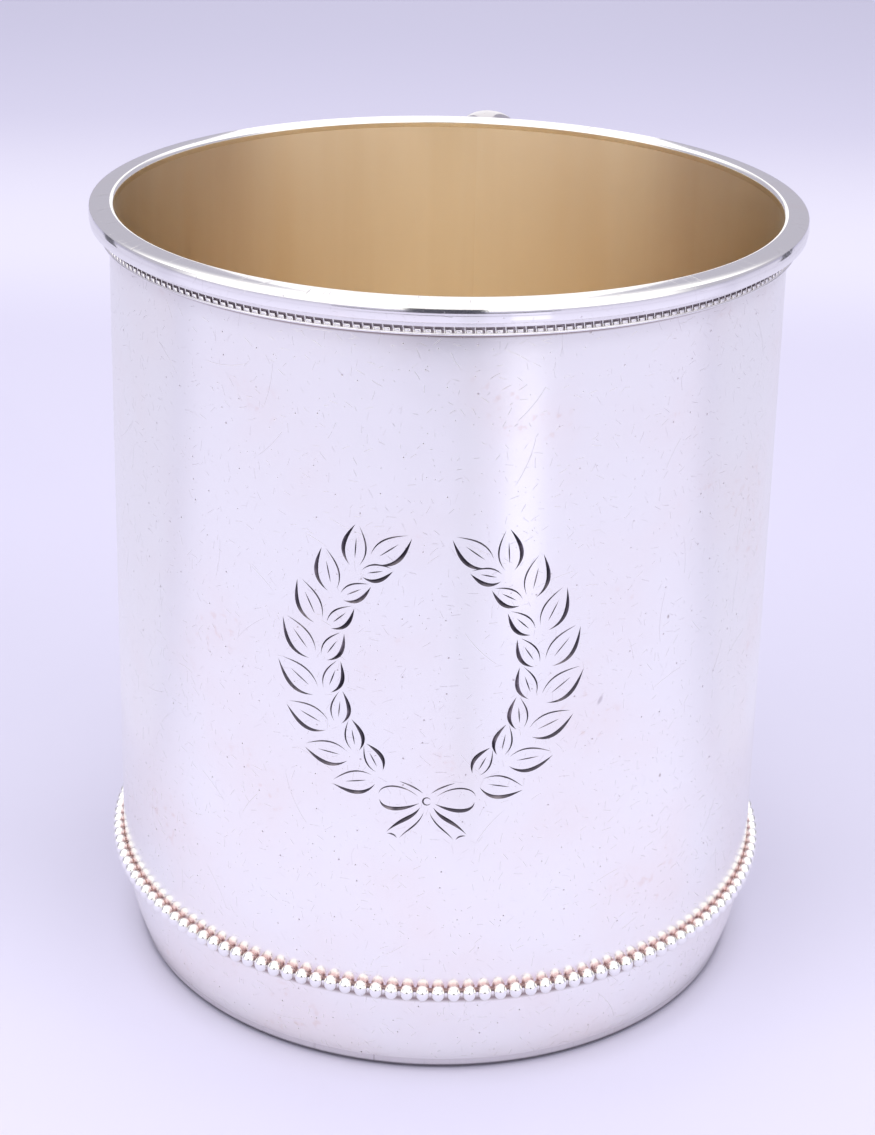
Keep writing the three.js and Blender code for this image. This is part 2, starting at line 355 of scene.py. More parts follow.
def crown_reach(body, trim):
    """Width of the crown that the lip and the rim wire share, from the lip's inner edge outwards."""
    return body.wall - body.lip_rounding + trim.rim_reach - SOLDER


def crown_joint(body, trim):
    """Angle on the crown where the lip ends and the rim wire starts."""
    return math.acos((body.wall - body.lip_rounding - SOLDER) / crown_reach(body, trim))


def crown(body, trim, start, end, steps):
    """Points of the shared crown, as (radius, height), between two angles from the outward direction."""
    centre = (body.lip_radius - body.wall + body.lip_rounding, body.height - trim.rim_crown)
    return arc(centre, crown_reach(body, trim), trim.rim_crown, start, end, steps)


def spin(bm, geometry, turn, steps, **settings):
    """Turns geometry round the mug's axis."""
    bmesh.ops.spin(bm, geom=geometry, cent=(0, 0, 0), axis=(0, 0, 1), angle=turn, steps=steps, **settings)


def spin_profile(bm, profile, closed):
    """Turns a profile of (radius, height) points once round the axis and returns its faces."""
    verts = [bm.verts.new((radius, 0.0, height)) for radius, height in profile]
    pairs = list(zip(verts, verts[1:]))
    if closed:
        pairs.append((verts[-1], verts[0]))
    edges = [bm.edges.new(pair) for pair in pairs]
    old_faces = set(bm.faces)
    spin(bm, verts + edges, math.tau, ROUND_STEPS, use_merge=True)
    faces = [face for face in bm.faces if face not in old_faces]
    rim_verts = list({vert for face in faces for vert in face.verts})
    bmesh.ops.remove_doubles(bm, verts=rim_verts, dist=MERGE_DISTANCE)
    faces = [face for face in bm.faces if face not in old_faces]
    bmesh.ops.recalc_face_normals(bm, faces=faces)
    return faces


def repeat_round(bm, copies):
    """Copies what a mesh holds round the axis until it closes the ring."""
    geometry = list(bm.verts) + list(bm.edges) + list(bm.faces)
    spin(bm, geometry, math.tau * (copies - 1) / copies, copies - 1, use_duplicate=True)
    bmesh.ops.recalc_face_normals(bm, faces=bm.faces)


def rolled_grid(bm, along, around, place):
    """Rolls a flat grid into a tube: place(u, v) puts a point u of the way along and v of the way round."""
    made = bmesh.ops.create_grid(bm, x_segments=along, y_segments=around, size=0.5)
    for vert in made["verts"]:
        vert.co = place(vert.co.x + 0.5, vert.co.y + 0.5)
    bmesh.ops.remove_doubles(bm, verts=made["verts"], dist=MERGE_DISTANCE)


def finish_piece(name, bm, materials, smooth_angle=SMOOTH_ANGLE):
    """Makes the object of a finished mesh, smooth apart from its sharp edges, and links it to the scene."""
    mesh = bpy.data.meshes.new(name)
    for face in bm.faces:
        face.smooth = True
    bm.to_mesh(mesh)
    bm.free()
    for material in materials:
        mesh.materials.append(material)
    mesh.set_sharp_from_angle(angle=smooth_angle)
    piece = bpy.data.objects.new(name, mesh)
    bpy.context.scene.collection.objects.link(piece)
    return piece


def seat_piece(piece, node):
    """Rides a piece on the mug in place of a solid, which it hides."""
    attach(piece, BODY)
    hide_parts(node)


# Finishes

class Finish:
    """A metal being built: its material, its shader, its colour so far and short ways to add nodes."""

    def __init__(self, name, first_colour, metallic=1.0, roughness=0.2):
        self.material = bpy.data.materials.new(name)
        self.material.use_nodes = True
        self.tree = self.material.node_tree
        self.shader = self.tree.nodes["Principled BSDF"]
        self.colour = first_colour
        self.shade("Base Color", first_colour)
        self.shade("Metallic", metallic)
        self.shade("Roughness", roughness)

    def set(self, node, name, value):
        """Links a socket to a node's input, or writes a plain value there."""
        if isinstance(value, bpy.types.NodeSocket):
            self.tree.links.new(value, node.inputs[name])
        else:
            node.inputs[name].default_value = value

    def shade(self, name, value):
        self.set(self.shader, name, value)

    def coat(self, next_colour, mask, strength=1.0):
        """Lays a colour over the colour so far, where a mask is 1 and as strongly as a share says."""
        factor = mask if strength == 1.0 else self.times(mask, strength)
        self.colour = self.mix(factor, self.colour, next_colour)
        self.shade("Base Color", self.colour)

    def node(self, kind, inputs, **settings):
        made = self.tree.nodes.new(kind)
        for key, value in settings.items():
            setattr(made, key, value)
        for key, value in inputs.items():
            self.set(made, key, value)
        return made

    def math(self, operation, first, second=0.0):
        return self.node("ShaderNodeMath", {0: first, 1: second}, operation=operation).outputs[0]

    def times(self, first, second):
        return self.math("MULTIPLY", first, second)

    def plus(self, first, second):
        return self.math("ADD", first, second)

    def minus(self, first, second):
        return self.math("SUBTRACT", first, second)

    def larger(self, first, second):
        return self.math("MAXIMUM", first, second)

    def absolute(self, value):
        return self.math("ABSOLUTE", value)

    def vector(self, operation, first, second):
        return self.node("ShaderNodeVectorMath", {0: first, 1: second}, operation=operation).outputs[0]

    def distance(self, vector):
        return self.node("ShaderNodeVectorMath", {0: vector}, operation="LENGTH").outputs["Value"]

    def turned(self, vector, turn):
        inputs = {"Vector": vector, "Angle": turn}
        return self.node("ShaderNodeVectorRotate", inputs, rotation_type="Z_AXIS").outputs[0]

    def fade(self, value, start, end):
        """0 at start, 1 at end, with soft ends. Start may be the larger one."""
        low, high = sorted((start, end))
        sides = {"To Min": 0.0, "To Max": 1.0} if start < end else {"To Min": 1.0, "To Max": 0.0}
        inputs = {"Value": value, "From Min": low, "From Max": high, **sides}
        return self.node("ShaderNodeMapRange", inputs, interpolation_type="SMOOTHSTEP").outputs[0]

    def span(self, value, low, high):
        """Stretches a pattern between 0 and 1 over the values from low to high."""
        return self.node("ShaderNodeMapRange", {"Value": value, "To Min": low, "To Max": high}).outputs[0]

    def band(self, value, middle, half):
        """1 at the middle of a band and 0 beyond its edges."""
        return self.fade(self.absolute(self.minus(value, middle)), half, 0.0)

    def mix(self, factor, first, second):
        inputs = {"Factor": factor, 6: first, 7: second}
        return self.node("ShaderNodeMix", inputs, data_type="RGBA").outputs[2]

    def noise(self, vector, scale, detail=2.0):
        inputs = {"Vector": vector, "Scale": scale, "Detail": detail}
        return self.node("ShaderNodeTexNoise", inputs).outputs[0]

    def place(self):
        return self.node("ShaderNodeTexCoord", {}).outputs["Object"]

    def split(self, vector):
        return self.node("ShaderNodeSeparateXYZ", {0: vector}).outputs

    def join(self, first, second):
        return self.node("ShaderNodeCombineXYZ", {0: first, 1: second}).outputs[0]

    def bearing(self, x, y):
        """Angle round the mug from the front, with its seam behind the handle."""
        return self.math("ARCTAN2", x, self.times(y, -1.0))

    def from_axis(self, x, y):
        return self.math("SQRT", self.plus(self.times(x, x), self.times(y, y)))

    def unrolled(self, radius):
        """The wall laid flat: distance round the mug, height, and the two as one vector."""
        x, y, z = self.split(self.place())
        around = self.times(self.bearing(x, y), radius)
        return around, z, self.join(around, z)

    def cells(self, flat, cell):
        """Cells of the laid-out wall: the place from a cell's middle, and its three random values."""
        inputs = {"Vector": flat, "Scale": 1.0 / cell}
        made = self.node("ShaderNodeTexVoronoi", inputs, voronoi_dimensions="2D")
        local = self.vector("SUBTRACT", flat, made.outputs["Position"])
        return local, self.split(made.outputs["Color"])

    def scratches(self, flat, cell, reach, width, chance, bend):
        """Mask of scratches, at most one to a cell, each with its own turn and length."""
        local, (turn, grow, pick) = self.cells(flat, cell)
        along, across, _ = self.split(self.turned(local, self.times(turn, math.tau)))
        sag = self.times(self.times(along, along), bend)
        line = self.fade(self.absolute(self.minus(across, sag)), width, width * SCRATCH_CORE)
        inside = self.minus(self.times(grow, reach), self.absolute(along))
        ends = self.fade(inside, 0.0, reach * SCRATCH_TAPER)
        return self.times(self.times(line, ends), self.math("LESS_THAN", pick, chance))

    def nicks(self, flat, cell, width, chance):
        """Mask of small round dents, at most one to a cell."""
        local, (grow, _, pick) = self.cells(flat, cell)
        inside = self.minus(self.times(grow, width), self.distance(local))
        spot = self.fade(inside, 0.0, width * NICK_EDGE)
        return self.times(spot, self.math("LESS_THAN", pick, chance))

    def spot(self, flat, place, size, turn=0.0):
        """Mask of one soft mark, an ellipse with its middle at a place on the laid-out wall."""
        local = self.turned(self.vector("SUBTRACT", flat, (*place, 0.0)), turn)
        return self.fade(self.distance(self.vector("DIVIDE", local, (*size, 1.0))), 1.0, SPOT_CORE)

    def bump(self, height, distance):
        """Lets a height pattern tilt the surface, as a real depth in metres."""
        inputs = {"Height": height, "Distance": distance}
        self.shade("Normal", self.node("ShaderNodeBump", inputs).outputs[0])

    def wear(self, flat):
        """Scratches and nicks that a satin wall picks up in use: light ones, long ones and dents."""
        fine = self.scratches(flat, 1.1 * MM, reach=0.7 * MM, width=0.045 * MM, chance=0.65, bend=90.0)
        long = self.scratches(flat, 6.5 * MM, reach=3.6 * MM, width=0.04 * MM, chance=0.5, bend=40.0)
        dents = self.nicks(flat, 2.2 * MM, width=0.14 * MM, chance=0.45)
        pricks = self.nicks(flat, 0.9 * MM, width=0.085 * MM, chance=0.45)
        light = self.times(self.larger(fine, pricks), 0.4)
        return self.larger(light, self.larger(self.times(long, 0.45), dents))


class Room(Finish):
    """A world being built, with the same short ways to add nodes."""

    def __init__(self, name):
        self.world = bpy.data.worlds.new(name)
        self.world.use_nodes = True
        self.tree = self.world.node_tree
        self.shader = self.tree.nodes["Background"]


def satin_silver(body, trim, finish):
    """Outside of the drum: soft polish with stains, scratches, flecks and pink tarnish over the pearls, a
    dark band under them, greying towards the milled strip and a painted shade line under it.
    """
    metal = Finish("satin_silver", finish.silver)
    around, height, flat = metal.unrolled(body.foot_radius)
    worn = metal.wear(flat)
    cloud = metal.noise(flat, 75.0, 3.0)
    speck = metal.noise(flat, 900.0, 4.0)
    low = metal.fade(height, 60 * MM, 15 * MM)
    flecks = metal.times(metal.fade(cloud, 0.56, 0.66), metal.fade(speck, 0.56, 0.68))
    # Greyer towards the milled strip's lower edge
    greying = metal.fade(height, trim.strip_bottom - 2.4 * MM, trim.strip_bottom)
    # Painted shade: a dark line on the wall just under the milled strip
    painted_shade_under_strip = metal.band(height, trim.strip_bottom - 0.3 * MM, half=0.26 * MM)
    pink = metal.band(height, body.bead_rise + 0.6 * MM, half=1.1 * MM)
    # A dark brown band just under the pearls
    band_under_pearls = metal.band(height, body.bead_rise - 1.1 * MM, half=0.6 * MM)
    metal.coat(finish.stain, metal.fade(metal.plus(cloud, metal.times(low, 0.12)), 0.4, 0.85))
    metal.coat(finish.fleck, flecks, 0.3)
    metal.coat(finish.scratch, worn, 0.62)
    metal.coat(finish.scratch, metal.spot(flat, SMUDGE_PLACE, SMUDGE_SIZE, SMUDGE_TURN), 0.5)
    for place in FLECK_PLACES:
        metal.coat(finish.tarnish_and_shade, metal.spot(flat, place, FLECK_SIZE), 0.55)
    metal.coat(finish.scratch, greying, 0.2)
    metal.coat(finish.blush, pink, 0.6)
    # The painted shade line under the strip and the dark band under the pearls, in the tarnish brown
    metal.coat(finish.tarnish_and_shade, metal.larger(painted_shade_under_strip, band_under_pearls), 0.8)
    grain = metal.noise(flat, 260.0, 3.0)
    dull = metal.minus(metal.times(worn, 0.15), metal.times(pink, 0.06))
    metal.shade("Roughness", metal.plus(metal.span(grain, 0.17, 0.27), dull))
    sway = metal.noise(metal.join(around, 0.0), 60.0, 1.0)
    metal.bump(metal.minus(metal.times(sway, 4.0), worn), 0.012 * MM)
    return metal.material


def gold_wash(name, body, finish, lying=False):
    """Gilt inside: brushed round the axis, with streaks down the wall or clouds on the bottom."""
    metal = Finish(name, finish.gilt)
    metal.shader.distribution = "GGX"
    around, height, flat = metal.unrolled(body.foot_radius)
    run_down = metal.join(around, metal.times(height, 0.06))
    streak = metal.noise(metal.place() if lying else run_down, 130.0, 3.0)
    scratched = metal.place() if lying else flat
    worn = metal.scratches(scratched, 3 * MM, reach=2 * MM, width=0.04 * MM, chance=0.6, bend=40.0)
    metal.coat(finish.gilt_deep, metal.fade(streak, 0.42, 0.68))
    metal.coat(finish.silver, worn, 0.12)
    metal.shade("Roughness", metal.span(streak, 0.24, 0.44))
    metal.shade("Anisotropic", 0.85)
    metal.shade("Anisotropic Rotation", 0.25)
    round_about = metal.node("ShaderNodeTangent", {}, direction_type="RADIAL", axis="Z").outputs[0]
    metal.shade("Tangent", round_about)
    metal.bump(metal.times(streak, 3.0), 0.01 * MM)
    return metal.material


def engraved_cut(finish):
    """Bottom of the engraved strokes: dark tarnish, thinner in places."""
    metal = Finish("engraved_cut", finish.cut, roughness=0.42)
    metal.coat(finish.scratch, metal.fade(metal.noise(metal.place(), 420.0, 3.0), 0.45, 0.85))
    return metal.material


def polished_silver(name, finish, flat_of, joint=None, greying=0.0):
    """Bright silver of the lip, the rim wire and the handle: fine scratches, tarnish along a joint, and an
    overall greying that on the handle is painted shade.
    """
    metal = Finish(name, finish.silver)
    flat = flat_of(metal)
    worn = metal.wear(flat)
    cloud = metal.noise(flat, 110.0, 3.0)
    metal.coat(finish.stain, metal.fade(cloud, 0.55, 0.85))
    metal.coat(finish.scratch, worn, 0.35)
    # Painted shade on the handle: the whole piece greyed to stand in for a darker reflection
    if greying:
        metal.coat(finish.scratch, greying)
    if joint is not None:
        metal.coat(finish.scratch, metal.band(metal.split(metal.place())[2], joint, half=0.2 * MM), 0.14)
    metal.shade("Roughness", metal.plus(metal.span(cloud, 0.07, 0.14), metal.times(worn, 0.2)))
    metal.bump(metal.minus(cloud, worn), 0.008 * MM)
    return metal.material


def round_flat(radius):
    return lambda metal: metal.unrolled(radius)[2]


def handle_flat(metal):
    """The bar laid flat: across its width, and along it from the top to the lower end."""
    x, y, z = metal.split(metal.place())
    return metal.join(x, metal.minus(y, z))


def base_silver(body, finish):
    """Underside and edge of the base plate: turned polish, table scratches, and painted shade round the
    edge: a greyer rim and a dark contact line.
    """
    metal = Finish("base_silver", finish.silver)
    x, y, z = metal.split(metal.place())
    flat = metal.join(x, y)
    worn = metal.wear(flat)
    radius = metal.from_axis(x, y)
    turned = metal.noise(metal.join(radius, 0.0), 2200.0)
    # Painted shade: the outer rim of the underside and the edge are greyed, standing in for the shadowed
    # floor they reflect
    rim = metal.fade(radius, body.base_radius - 1.3 * MM, body.base_radius - 0.6 * MM)
    # Painted shade: a dark line low round the edge, standing in for the shadow where it meets the table
    painted_contact_shade = metal.times(metal.fade(z, 0.66 * MM, 0.42 * MM), rim)
    metal.coat(finish.stain, metal.fade(metal.noise(flat, 90.0, 3.0), 0.5, 0.85))
    metal.coat(finish.scratch, worn, 0.6)
    metal.coat(finish.scratch, rim, 0.4)
    metal.coat(finish.cut, painted_contact_shade, 0.75)
    metal.shade("Roughness", metal.span(turned, 0.2, 0.32))
    metal.bump(metal.minus(turned, worn), 0.006 * MM)
    return metal.material


def pearl_silver(body, trim, finish):
    """Bright pearls, dark between them and on the neck behind them with tarnish and painted shade: brown
    low down, pink-brown high up.
    """
    metal = Finish("pearl_silver", finish.silver)
    x, y, z = metal.split(metal.place())
    steps = metal.times(metal.bearing(x, y), trim.bead_count / math.tau)
    off = metal.absolute(metal.minus(metal.math("FRACT", steps), 0.5))
    circle = body.foot_radius + trim.bead_back
    # Tarnish and painted shade between the pearls and on the neck behind their middles
    behind = metal.fade(metal.from_axis(x, y), circle - 0.08 * MM, circle - 0.3 * MM)
    flank = metal.times(metal.fade(off, 0.22, 0.38), behind)
    gap = metal.larger(metal.fade(off, 0.44, 0.48), flank)
    lower = metal.fade(z, body.bead_rise + 0.5 * MM, body.bead_rise - 0.1 * MM)
    grain = metal.noise(metal.place(), 1500.0)
    metal.coat(finish.stain, metal.fade(grain, 0.6, 0.85))
    metal.coat(metal.mix(lower, metal.mix(0.2, finish.blush, finish.tarnish_and_shade), finish.tarnish_and_shade), gap, 0.9)
    metal.shade("Roughness", metal.plus(metal.span(grain, 0.07, 0.16), metal.times(gap, 0.5)))
    return metal.material


def milled_silver(finish):
    """Bright faces of the dentils and the fillet."""
    metal = Finish("milled_silver", finish.silver)
    grain = metal.noise(metal.place(), 1300.0)
    metal.coat(finish.scratch, metal.plus(metal.times(metal.fade(grain, 0.5, 0.9), 0.2), 0.16))
    metal.shade("Roughness", metal.span(grain, 0.14, 0.26))
    return metal.material


def notch_shade(finish):
    """Painted shade and tarnish in the milled strip's groove and on the dentils' sides, tops and bottoms:
    dark, lighter in places.
    """
    metal = Finish("notch_shade", finish.cut, roughness=0.45)
    grain = metal.noise(metal.place(), 900.0)
    metal.coat(finish.scratch, metal.plus(metal.times(metal.fade(grain, 0.4, 0.9), 0.35), 0.62))
    return metal.material


def floor_paper(stage):
    """Pale paper with painted shade beside the mug, which falls into painted shade behind it, with a
    painted lit stretch before it does.
    """
    paper = Finish("floor_paper", stage.floor, metallic=0.0, roughness=0.85)
    x, y, _ = paper.split(paper.place())
    ahead = paper.times(y, math.cos(stage.camera_bearing))
    depth = paper.minus(ahead, paper.times(x, math.sin(stage.camera_bearing)))
    # Painted shade on the paper beside the mug
    beside = paper.mix(paper.fade(depth, *BACK_STRETCH), stage.floor_shaded_near, stage.floor_back)
    paper.coat(beside, paper.fade(depth, *SIDE_STRETCH))
    paper.coat(stage.floor_far, paper.fade(depth, stage.shade_start, stage.shade_end))
    paper.coat(stage.floor_lit, paper.times(paper.fade(depth, *LIT_RISE), paper.fade(depth, *LIT_FALL)))
    paper.shade("Specular IOR Level", 0.1)
    return paper.material


# Operators

class MUG_OT_drum(bpy.types.Operator):
    """Spin the drum: a tucked foot, a straight wall, a rounded lip and a gilt inside"""

    bl_idname = "mug.drum"
    bl_label = "Drum"

    def tuck(self, body, inset):
        """Points up the tucked foot, an arc that leaves the straight wall upright."""
        drop = body.bead_rise - body.edge_height
        tuck = body.foot_radius - body.edge_radius
        radius = (drop * drop + tuck * tuck) / (2 * tuck)
        sweep = math.asin(drop / radius)
        centre = (body.foot_radius - radius, body.bead_rise)
        points = arc(centre, radius, radius, -sweep, 0.0, steps=14)
        return [(reach - inset, height) for reach, height in points]

    def execute(self, context):
        scene = context.scene
        body = scene.mug_body
        trim = scene.mug_trim
        outside = self.tuck(body, 0.0)
        rings = spread(body.bead_rise, body.height - trim.rim_crown, steps=10)[1:]
        outside += [(wall_radius(body, height), height) for height in rings]
        lip = crown(body, trim, crown_joint(body, trim), math.pi / 2, steps=6)
        edge = body.lip_rounding
        edge_centre = (body.lip_radius - body.wall + edge, body.height - edge)
        lip += arc(edge_centre, edge, edge, math.pi / 2, math.pi, steps=8)[1:]
        bare = body.height - edge - body.gilt_gap
        lip.append((wall_radius(body, bare) - body.wall, bare))
        inside = list(reversed(self.tuck(body, body.wall)))
        bm = bmesh.new()
        for face in spin_profile(bm, outside + lip + inside, closed=True):
            middle = face.calc_center_median()
            if face.normal.xy.dot(middle.xy.normalized()) < LEANS_OUT:
                face.material_index = DRUM_LIP if middle.z > bare else DRUM_GILT
        finishes = {
            DRUM_OUTSIDE: satin_silver(body, trim, scene.mug_finish),
            DRUM_GILT: gold_wash("gold_wash", body, scene.mug_finish),
            DRUM_CUT: engraved_cut(scene.mug_finish),
            DRUM_LIP: polished_silver("lip_silver", scene.mug_finish, round_flat(body.lip_radius)),
        }
        piece = finish_piece("drum", bm, finishes.values())
        seat_piece(piece, "body_drum")
        return {"FINISHED"}


class MUG_OT_wreath(bpy.types.Operator):
    """Engrave a wreath of leaves into the front of the drum"""

    bl_idname = "mug.wreath"
    bl_label = "Wreath"

    def stem_point(self, wreath, side, rise):
        """Point of a branch's line: 0 at the tie, 1 at the tip, left or right of the middle."""
        sweep = math.radians(142)
        from_tie = math.radians(9)
        turn = -math.pi / 2 + rise * sweep + from_tie
        return Vector((side * wreath.half_width * math.cos(turn), wreath.half_height * math.sin(turn)))

    def leaf(self, base, heading, size, side, wreath):
        """Two strokes of a leaf, a shaded one and a hairline, and the vein between them."""
        across = Vector((-heading.y, heading.x)) * side
        strokes = []
        for bulge, width in ((SHADED_BULGE, wreath.thick), (HAIRLINE_BULGE, wreath.thin)):
            points = []
            for u in spread(*LEAF_RUN, steps=14):
                off = bulge * size * math.sin(math.pi * u ** LEAF_FULLNESS)
                points.append(base + heading * (u * size) + across * off)
            strokes.append((points, width))
        vein = [base + heading * (size * u) for u in spread(*VEIN_RUN, steps=7)]
        strokes.append((vein, wreath.thin * VEIN_WIDTH))
        return strokes

    def branch(self, wreath, side):
        """Strokes of one branch: pairs of leaves along its line, and a tip leaf."""
        strokes = []
        for rise in spread(*PAIRS_RUN, steps=wreath.leaf_pairs - 1):
            base = self.stem_point(wreath, side, rise)
            ahead = (self.stem_point(wreath, side, rise + RISE_STEP) - base).normalized()
            size = wreath.leaf_length * (1.0 - LEAF_LOSS * abs(rise - LARGEST_PAIR))
            for hand in (1, -1):
                lean, part = INNER_LEAF if hand == side else OUTER_LEAF
                heading = Matrix.Rotation(hand * lean, 2) @ ahead
                start = base + heading * (LEAF_STALK * size)
                strokes += self.leaf(start, heading, size * part, hand, wreath)
        tip = self.stem_point(wreath, side, TIP_RISE)
        ahead = (self.stem_point(wreath, side, TIP_RISE + RISE_STEP) - tip).normalized()
        strokes += self.leaf(tip, ahead, wreath.leaf_length * TIP_LEAF, side, wreath)
        return strokes

    def tie(self, wreath):
        """Strokes of the ribbon bow under the branches: for each side a loop, a tail and a bare stem."""
        bends = (
            ((0.7, 0.3), (2.2, 2.0), (5.0, 1.9), (5.0, 0.3), wreath.thin),
            ((4.9, 0.0), (4.6, -1.6), (2.3, -1.1), (0.7, -0.2), wreath.thick),
            ((0.6, -0.6), (1.5, -2.2), (2.6, -2.0), (4.2, -3.9), wreath.thick),
            ((0.2, -0.9), (0.7, -2.9), (2.0, -3.2), (2.9, -4.6), wreath.thin),
            ((3.0, -4.5), (3.2, -4.0), (3.7, -3.9), (4.1, -4.0), wreath.thin),
            ((0.3, 0.8), (1.0, 1.5), (2.0, 1.9), (3.0, 2.2), wreath.thin),
        )
        knot = Vector((0.0, -wreath.half_height - KNOT_DROP, 0.0))
        strokes = []
        for side in (1, -1):
            for *bend, width in bends:
                corners = [knot + Vector((side * x, y, 0.0)) * MM for x, y in bend]
                strokes.append(([point.xy for point in interpolate_bezier(*corners, STROKE_POINTS)], width))
        ring = arc(knot.xy, KNOT_RADIUS, KNOT_RADIUS, math.radians(5), math.radians(355), steps=16)
        strokes.append(([Vector(point) for point in ring], wreath.thin))
        return strokes

    def cutter(self, bm, points, width, body, wreath):
        """A wedge along one stroke, widest in the middle and pointed at both ends."""
        last = len(points) - 1

        def on_wall(flat, height_over):
            turn = wreath.bearing + flat.x / body.foot_radius
            height = wreath.height + flat.y
            radius = wall_radius(body, height) + height_over
            return Vector((radius * math.sin(turn), -radius * math.cos(turn), height))

        def place(u, v):
            index = min(round(u * last), last)
            here = points[index]
            ahead = points[min(index + 1, last)] - points[max(index - 1, 0)]
            across = Vector((-ahead.y, ahead.x)).normalized()
            swell = math.sin(math.pi * u)
            half = width / 2 * swell
            depth = width * wreath.steepness * swell
            corner = round(v * 3) % 3
            if corner == 2:
                return on_wall(here, CUT_START - depth)
            hand = 1 if corner == 0 else -1
            flare = half * (1 + CUT_LIFT / (depth + MERGE_DISTANCE)) if swell > TINY_SWELL else 0.0
            lift = CUT_LIFT * min(swell * CUT_RISE, 1.0)
            return on_wall(here + across * (hand * flare), CUT_START + lift)

        rolled_grid(bm, along=last, around=3, place=place)

    def execute(self, context):
        scene = context.scene
        body = scene.mug_body
        wreath = scene.mug_wreath
        drum = bpy.data.objects["drum"]
        strokes = self.branch(wreath, 1) + self.branch(wreath, -1) + self.tie(wreath)
        bm = bmesh.new()
        for points, width in strokes:
            self.cutter(bm, points, width, body, wreath)
        bmesh.ops.recalc_face_normals(bm, faces=bm.faces)
        for face in bm.faces:
            face.material_index = DRUM_CUT
        graver = finish_piece("graver", bm, list(drum.data.materials))
        cut = drum.modifiers.new("engraving", "BOOLEAN")
        cut.object = graver
        cut.operation = "DIFFERENCE"
        cut.solver = "EXACT"
        cut.use_self = True
        cut.material_mode = "INDEX"
        shaped = drum.evaluated_get(context.evaluated_depsgraph_get())
        engraved = bpy.data.meshes.new_from_object(shaped)
        drum.modifiers.clear()
        plain = drum.data
        drum.data = engraved
        engraved.name = "drum"
        bpy.data.meshes.remove(plain)
        bpy.data.objects.remove(graver)
        engraved.set_sharp_from_angle(angle=ENGRAVED_SMOOTH_ANGLE)
        return {"FINISHED"}


class MUG_OT_base_plate(bpy.types.Operator):
    """Spin the base plate: a disc with a rounded lower edge, gilt on top"""

    bl_idname = "mug.base_plate"
    bl_label = "Base Plate"

    def execute(self, context):
        scene = context.scene
        body = scene.mug_body
        rounding = body.base_rounding
        edge_centre = (body.base_radius - rounding, rounding)
        edge = arc(edge_centre, rounding, rounding, -math.pi / 2, 0.0, steps=6)
        gilt_edge = body.edge_radius - body.wall
        top = [(radius, body.base_thickness) for radius in (body.base_radius, gilt_edge, 0.0)]
        bm = bmesh.new()
        for face in spin_profile(bm, [(0.0, 0.0)] + edge + top, closed=False):
            middle = face.calc_center_median()
            if face.normal.z > LIES_FLAT and middle.xy.length < gilt_edge:
                face.material_index = SECOND_FINISH
        gilt = gold_wash("gold_wash_bottom", body, scene.mug_finish, lying=True)
        piece = finish_piece("base_plate_disc", bm, [base_silver(body, scene.mug_finish), gilt])
        seat_piece(piece, "base_plate")
        return {"FINISHED"}


class MUG_OT_rim_wire(bpy.types.Operator):
    """Spin the wire round the lip: a rolled edge over a plain band"""

    bl_idname = "mug.rim_wire"
    bl_label = "Rim Wire"

    def run(self, start, radius, slope, end, steps):
        """Points of an arc that goes on from a point, between two slopes of its face."""
        centre = (start[0] - radius * math.cos(slope), start[1] - radius * math.sin(slope))
        return arc(centre, radius, radius, slope, end, steps)[1:]

    def section(self, body, trim):
        """The wire's section as (distance from the wall, height), from the lip down to its lower edge."""
        bottom = body.height - trim.rim_height
        slope = trim.rim_slope
        crown_end = math.atan(math.tan(slope) * trim.rim_crown / crown_reach(body, trim))
        top = crown(body, trim, crown_joint(body, trim), crown_end, steps=20)
        points = [(radius - body.lip_radius, height) for radius, height in top]
        roll_end = math.asin(math.sin(slope) - trim.rim_roll / trim.rim_curve)
        points += self.run(points[-1], trim.rim_curve, slope, roll_end, steps=10)
        turn_in = math.radians(-18)
        points += self.run(points[-1], trim.rim_under, roll_end, turn_in, steps=4)
        joint = points[-1][1]
        rise = math.radians(5)
        fall = math.radians(-12)
        band_low = bottom + trim.rim_rounding * (1 + math.sin(fall))
        band_curve = (joint - band_low) / (math.sin(rise) - math.sin(fall))
        points += self.run(points[-1], band_curve, rise, fall, steps=8)
        points += self.run(points[-1], trim.rim_rounding, fall, -math.pi / 2, steps=8)
        return points + [(-SOLDER, bottom)], joint

    def execute(self, context):
        scene = context.scene
        body = scene.mug_body
        points, joint = self.section(body, scene.mug_trim)
        bm = bmesh.new()
        profile = [(wall_radius(body, height) + reach, height) for reach, height in points]
        spin_profile(bm, profile, closed=True)
        silver = polished_silver("rim_silver", scene.mug_finish, round_flat(body.lip_radius), joint)
        piece = finish_piece("rim", bm, [silver])
        seat_piece(piece, "rim_wire")
        return {"FINISHED"}


